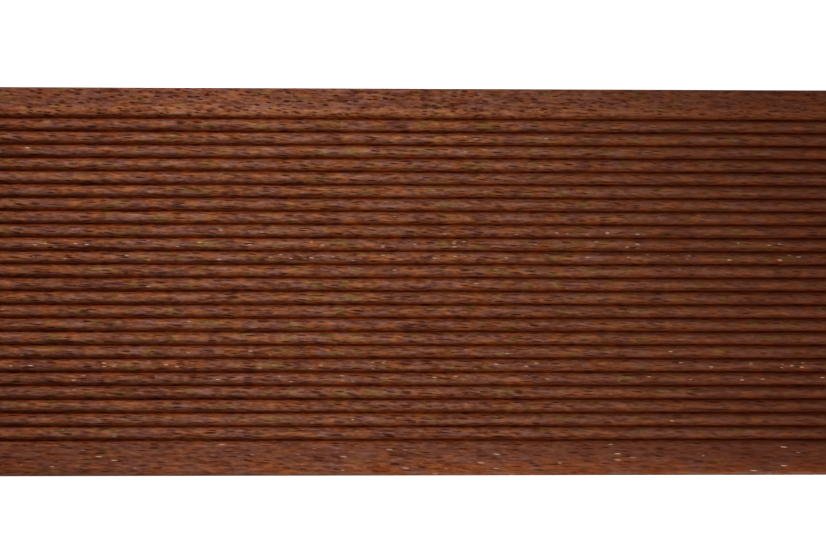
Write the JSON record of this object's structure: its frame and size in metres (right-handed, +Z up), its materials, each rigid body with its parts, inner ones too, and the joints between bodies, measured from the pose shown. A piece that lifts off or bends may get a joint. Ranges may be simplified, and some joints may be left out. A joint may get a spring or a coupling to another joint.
{
  "type": "decking board",
  "caption": "Long hardwood decking board, flat underneath with rounded long edges and a reeded upper face of fine parallel grooves, laid as outdoor flooring.",
  "frame": {"origin": "middle of the flat underside, halfway along the board", "axes": "+X along the board, +Y across it towards the edge nearer the grooves, +Z up out of the grooved face"},
  "size_m": [1.83, 0.145, 0.025],
  "materials": {
    "hardwood": "planed, unoiled red-brown hardwood"
  },
  "bodies": {
    "root": {"decking_board": "hardwood"}
  },
  "joints": []
}
